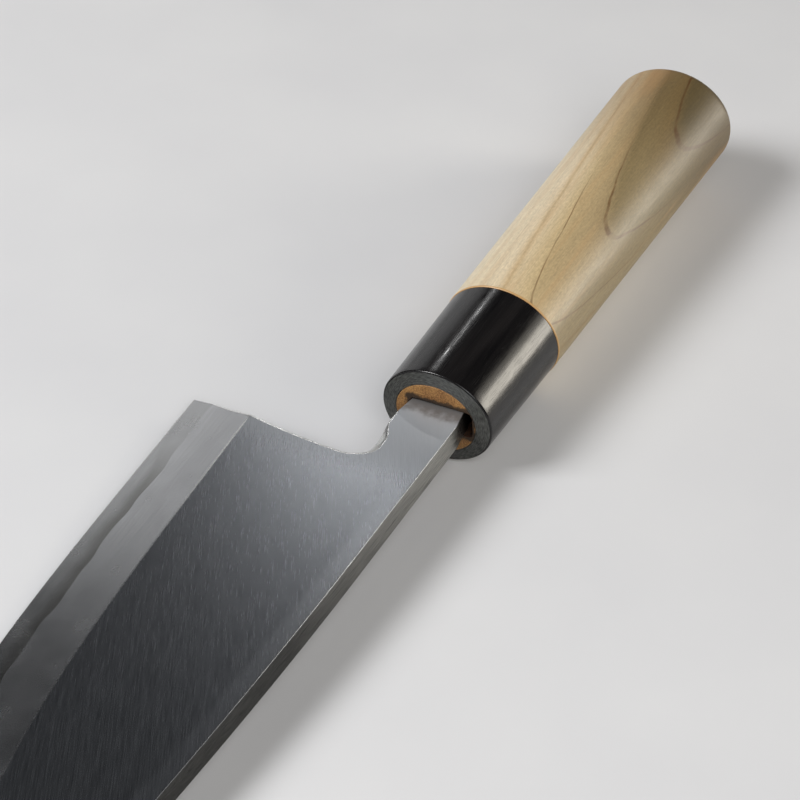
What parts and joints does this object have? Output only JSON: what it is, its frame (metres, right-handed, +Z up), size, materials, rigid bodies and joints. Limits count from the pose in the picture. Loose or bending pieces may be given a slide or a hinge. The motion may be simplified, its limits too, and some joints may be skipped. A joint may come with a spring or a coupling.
{
  "type": "deba knife",
  "caption": "Heavy single-bevel fish knife: laminated blade with hidden tang, set in an oval pale wood handle with a black horn ferrule.",
  "frame": {"origin": "on the bench, under the middle of the knife's box, with the knife lying as it comes to rest, bevel up", "axes": "+X along the handle towards the tip, +Y towards the spine, +Z up, out of the bevelled face"},
  "size_m": [0.3124, 0.0654, 0.0294],
  "materials": {
    "soft_iron": "satin, fine straight scratches",
    "carbon_steel": "fine stone-ground satin",
    "horn": "polished black, fine scratches",
    "ho_wood": "bare, sanded smooth"
  },
  "bodies": {
    "root": {"blade_cladding": "soft_iron", "edge_steel": "carbon_steel", "horn_ferrule": "horn", "wooden_grip": "ho_wood"}
  },
  "joints": []
}
